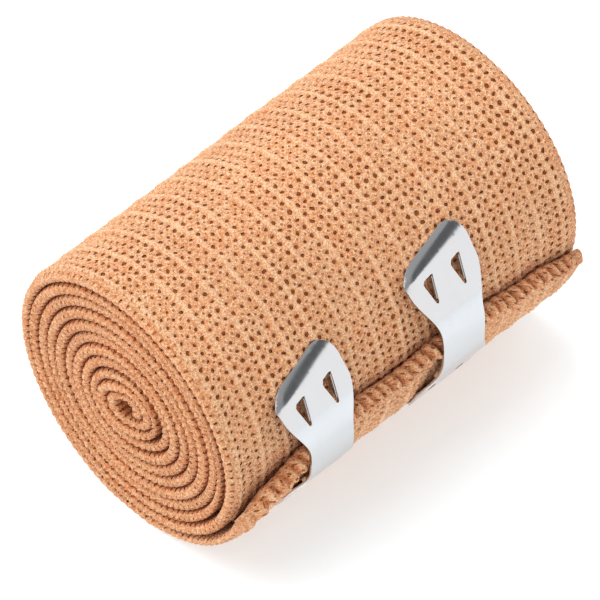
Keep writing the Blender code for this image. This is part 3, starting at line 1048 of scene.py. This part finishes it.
def clip_spot(across, reach, depth, along, elevation, tilt):
    """Bends a point of the flat clip over the hem; depth is measured inwards."""
    leant = lean(across, reach)
    place_along = along + across * cos(tilt) - leant * sin(tilt)
    climb = (across * sin(tilt) + leant * cos(tilt)) / OUTER_RADIUS
    bead = float(read_waves(along)) - BEAD_WIDTH / 2.0 / OUTER_RADIUS
    back = (elevation + climb - bead) * OUTER_RADIUS
    end, fall = (UPPER_HEIGHT, UPPER_FALL) if back > 0.0 else (LOWER_HEIGHT, LOWER_FALL)
    fallen = float(smooth((abs(back) - BRIDGE_FLAT) / fall))
    height = BRIDGE_HEIGHT + (end - BRIDGE_HEIGHT) * fallen
    drop = LIP_DROP if reach > 0.0 else LOWER_LIP * LIP_DROP
    height -= drop * curl(across, reach) ** 2
    spot = front(np.array(place_along), np.array(elevation + climb), np.array(height - depth))
    return Vector(spot.tolist())


def add_loop(bm, points):
    verts = [bm.verts.new((across, reach, 0.0)) for across, reach in points]
    return [bm.edges.new((verts[i - 1], verts[i])) for i in range(len(verts))]


def plate(seat, clips):
    """The flat outline with its holes, ruled into a fine grid, then bent to its seat."""
    quarter = clip_quarter()
    outline = list(quarter)
    outline += [(-across, reach) for across, reach in reversed(quarter)]
    outline += [(-across, -reach) for across, reach in quarter]
    outline += [(across, -reach) for across, reach in reversed(quarter)]
    bm = bmesh.new()
    flat_layer = bm.verts.layers.float_vector.new("flat")
    edges = add_loop(bm, outline)
    for hole in tooth_holes():
        edges += add_loop(bm, hole)
    bmesh.ops.triangle_fill(bm, use_beauty=True, edges=edges)
    for way, extent in (((0.0, 1.0, 0.0), CLIP_LENGTH), ((1.0, 0.0, 0.0), CLIP_HEAD)):
        normal = Vector(way)
        cuts = int(extent / 2.0 / clips.grid)
        for cut in range(-cuts, cuts + 1):
            bmesh.ops.bisect_plane(
                bm, geom=bm.verts[:] + bm.edges[:] + bm.faces[:], dist=CUT_MERGE,
                plane_co=normal * (cut * clips.grid), plane_no=normal,
            )
    slanted = []
    for edge in bm.edges:
        run = edge.verts[1].co - edge.verts[0].co
        if len(edge.link_faces) == 2 and min(abs(run.x), abs(run.y)) > 2.0 * CUT_MERGE:
            slanted.append(edge)
    bmesh.ops.dissolve_edges(bm, edges=slanted, use_verts=False, use_face_split=False)
    for vert in bm.verts:
        vert[flat_layer] = vert.co.copy()
        vert.co = clip_spot(vert.co.x, vert.co.y, 0.0, *seat)
    bmesh.ops.recalc_face_normals(bm, faces=bm.faces)
    if sum(face.normal.y for face in bm.faces) > 0.0:
        bmesh.ops.reverse_faces(bm, faces=bm.faces)
    return bm


TOOTH_PROFILE = (
    # share of the hole's slant, reach, depth
    (0.1, HOLE_FAR - 0.0005, 0.0),
    (0.1, HOLE_FAR - 0.0006, TOOTH_HEIGHT * 0.7),
    (0.2, HOLE_FAR - 0.0010, TOOTH_HEIGHT),
    (0.9, HOLE_NEAR + 0.0006, 0.0),
)


def add_teeth(bm, seat):
    """A pointed tooth bent in along the straight side of each hole."""
    flat_layer = bm.verts.layers.float_vector["flat"]
    thick = Vector((TOOTH_THICKNESS, 0.0, 0.0))
    for head in (1.0, -1.0):
        for middle in (-HOLE_OFFSET, HOLE_OFFSET):
            side = middle + HOLE_BASE / 2.0 - TOOTH_SINK
            verts = []
            for share, reach, depth in TOOTH_PROFILE:
                verts.append(bm.verts.new((side - share * HOLE_SLANT, reach, depth)))
                verts[-1][flat_layer] = (side, reach, depth)
            made = bmesh.ops.extrude_face_region(
                bm, geom=[bm.faces.new(verts)], use_keep_orig=True
            )
            for item in made["geom"]:
                if isinstance(item, bmesh.types.BMVert):
                    item.co += thick
                    item[flat_layer] = item[flat_layer] + thick
                    verts.append(item)
            for vert in verts:
                across, reach, depth = vert.co
                vert.co = clip_spot(head * across, head * reach, depth - TOOTH_SINK, *seat)
            faces = dict.fromkeys(face for vert in verts for face in vert.link_faces)
            bmesh.ops.recalc_face_normals(bm, faces=list(faces))


def make_clip(name, node, along, elevation, tilt, clips, finish):
    seat = (along, radians(elevation), radians(tilt))
    bm = plate(seat, clips)
    made_faces = bmesh.ops.extrude_face_region(bm, geom=bm.faces[:], use_keep_orig=True)
    inner = [item for item in made_faces["geom"] if isinstance(item, bmesh.types.BMVert)]
    for vert in inner:
        vert.co = vert.co + vert.normal * clips.thickness
    bmesh.ops.recalc_face_normals(bm, faces=bm.faces)
    corner = [
        edge for edge in bm.edges
        if len(edge.link_faces) == 2 and edge.calc_face_angle() > SHARP
    ]
    bmesh.ops.bevel(
        bm, geom=corner, offset=EDGE_ROUND, offset_type="OFFSET", affect="EDGES",
        segments=2, profile=0.5, material=-1, clamp_overlap=True,
    )
    add_teeth(bm, seat)
    made = add_piece(name, bm, finish)
    made.data.set_sharp_from_angle(angle=SHARP)
    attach(made, "root")
    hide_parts(node)
    return made


# ---------------------------------------------------------------- stage


LENS = 305.3
AIM = Vector((0.0, AXIS_Y, 0.0245))
SHIFT = (-0.0019, -0.0316)
FLOOR_SIZE = 6.0
KEY_SPOT = (-0.25, 0.45, 1.10)
KEY_SIZE = 1.5


def add_camera(stage):
    level = cos(stage.elevation)
    back = Vector((sin(stage.azimuth) * level, -cos(stage.azimuth) * level, sin(stage.elevation)))
    data = bpy.data.cameras.new("camera")
    data.sensor_width = 36.0
    data.lens = LENS
    data.shift_x, data.shift_y = SHIFT
    data.clip_start, data.clip_end = 0.01, 20.0
    camera = bpy.data.objects.new("camera", data)
    camera.location = AIM + back * stage.distance
    camera.rotation_euler = back.to_track_quat("Z", "Y").to_euler()
    bpy.context.scene.collection.objects.link(camera)
    bpy.context.scene.camera = camera


def add_key_light(stage):
    data = bpy.data.lights.new("key", "AREA")
    data.shape = "DISK"
    data.size = KEY_SIZE
    data.energy = stage.key
    light = bpy.data.objects.new("key", data)
    light.location = KEY_SPOT
    light.rotation_euler = (Vector(KEY_SPOT) - AIM).to_track_quat("Z", "Y").to_euler()
    light.visible_glossy = False  # the steel mirrors the surroundings alone
    bpy.context.scene.collection.objects.link(light)


DARK_PATCHES = (
    # direction, cosine where the patch starts, cosine where it is full, depth
    ((0.20, -0.36, 0.91), 0.87, 0.95, 0.94),
    ((0.06, 0.26, 0.96), 0.84, 0.94, 0.66),
    ((-0.42, -0.25, 0.87), 0.88, 0.96, 0.72),
)


def add_world(stage):
    """White all round, with soft dark patches that the clips' curled rims pick up."""
    world = bpy.data.worlds.new("studio")
    world.use_nodes = True
    tree = world.node_tree
    where = add_node(tree, "ShaderNodeTexCoord")
    dark = 0.0
    for direction, edge, middle, depth in DARK_PATCHES:
        towards = Vector(direction).normalized()
        aim = vector_node(tree, "DOT_PRODUCT", where.outputs["Generated"], towards)
        patch = math_node(tree, "MULTIPLY", step_between(tree, aim, edge, middle), depth)
        dark = math_node(tree, "MAXIMUM", patch, dark)
    colour = mix_colour(tree, dark, WHITE, NEAR_BLACK)
    background = tree.nodes["Background"]
    link(tree, colour, background.inputs["Color"])
    background.inputs["Strength"].default_value = stage.sky
    bpy.context.scene.world = world


# ---------------------------------------------------------------- operators


class BANDAGE_OT_wound_turns(bpy.types.Operator):
    """Winds the inner turns of the bandage"""

    bl_idname = "bandage.wound_turns"
    bl_label = "Wound Turns"

    def execute(self, context):
        wound_turns(context.scene.bandage_cloth)
        return {"FINISHED"}


class BANDAGE_OT_outer_turn(bpy.types.Operator):
    """Lays the last turn over them, with the loose end and its hem"""

    bl_idname = "bandage.outer_turn"
    bl_label = "Outer Turn and Hem"

    def execute(self, context):
        outer_turn(context.scene.bandage_cloth)
        return {"FINISHED"}


class BANDAGE_OT_clips(bpy.types.Operator):
    """Bends both clips over the hem"""

    bl_idname = "bandage.clips"
    bl_label = "Clips"

    def execute(self, context):
        clips = context.scene.bandage_clips
        finish = steel(clips)
        for row in CLIPS:
            make_clip(*row, clips, finish)
        return {"FINISHED"}


class BANDAGE_OT_stage(bpy.types.Operator):
    """Sets up the camera, the lights and the floor"""

    bl_idname = "bandage.stage"
    bl_label = "Stage"

    def execute(self, context):
        stage = context.scene.bandage_stage
        add_camera(stage)
        add_key_light(stage)
        add_world(stage)
        bm = bmesh.new()
        bmesh.ops.create_grid(bm, x_segments=1, y_segments=1, size=FLOOR_SIZE / 2.0)
        floor = add_piece("floor", bm, floor_paint())
        context.scene.view_settings.view_transform = "Standard"
        return {"FINISHED"}


class BANDAGE_PT_panel(bpy.types.Panel):
    """Lists the pieces and their sizes"""

    bl_idname = "BANDAGE_PT_panel"
    bl_label = "Crepe Bandage Roll"
    bl_space_type = "VIEW_3D"
    bl_region_type = "UI"
    bl_category = "Bandage"

    def draw(self, context):
        for group, operators in PANEL_ROWS:
            box = self.layout.box()
            settings = getattr(context.scene, group)
            for name in settings.bl_rna.properties.keys():
                if name not in {"rna_type", "name"}:
                    box.prop(settings, name)
            for idname in operators:
                box.operator(idname)


PANEL_ROWS = (
    ("bandage_cloth", ("bandage.wound_turns", "bandage.outer_turn")),
    ("bandage_clips", ("bandage.clips",)),
    ("bandage_stage", ("bandage.stage",)),
)
SETTINGS = (
    ("bandage_cloth", BandageCloth),
    ("bandage_clips", BandageClips),
    ("bandage_stage", BandageStage),
)
CLASSES = (
    BandageCloth,
    BandageClips,
    BandageStage,
    BANDAGE_OT_wound_turns,
    BANDAGE_OT_outer_turn,
    BANDAGE_OT_clips,
    BANDAGE_OT_stage,
    BANDAGE_PT_panel,
)


def register():
    for item in CLASSES:
        bpy.utils.register_class(item)
    for name, group in SETTINGS:
        setattr(bpy.types.Scene, name, PointerProperty(type=group))


def unregister():
    for name, _ in SETTINGS:
        delattr(bpy.types.Scene, name)
    for item in reversed(CLASSES):
        bpy.utils.unregister_class(item)


def plain(box):
    return [[float(value) for value in corner] for corner in box]


def main():
    register()
    bpy.ops.bandage.stage()
    bpy.ops.bandage.wound_turns()
    bpy.ops.bandage.outer_turn()
    bpy.ops.bandage.clips()


if __name__ == "__main__":
    main()
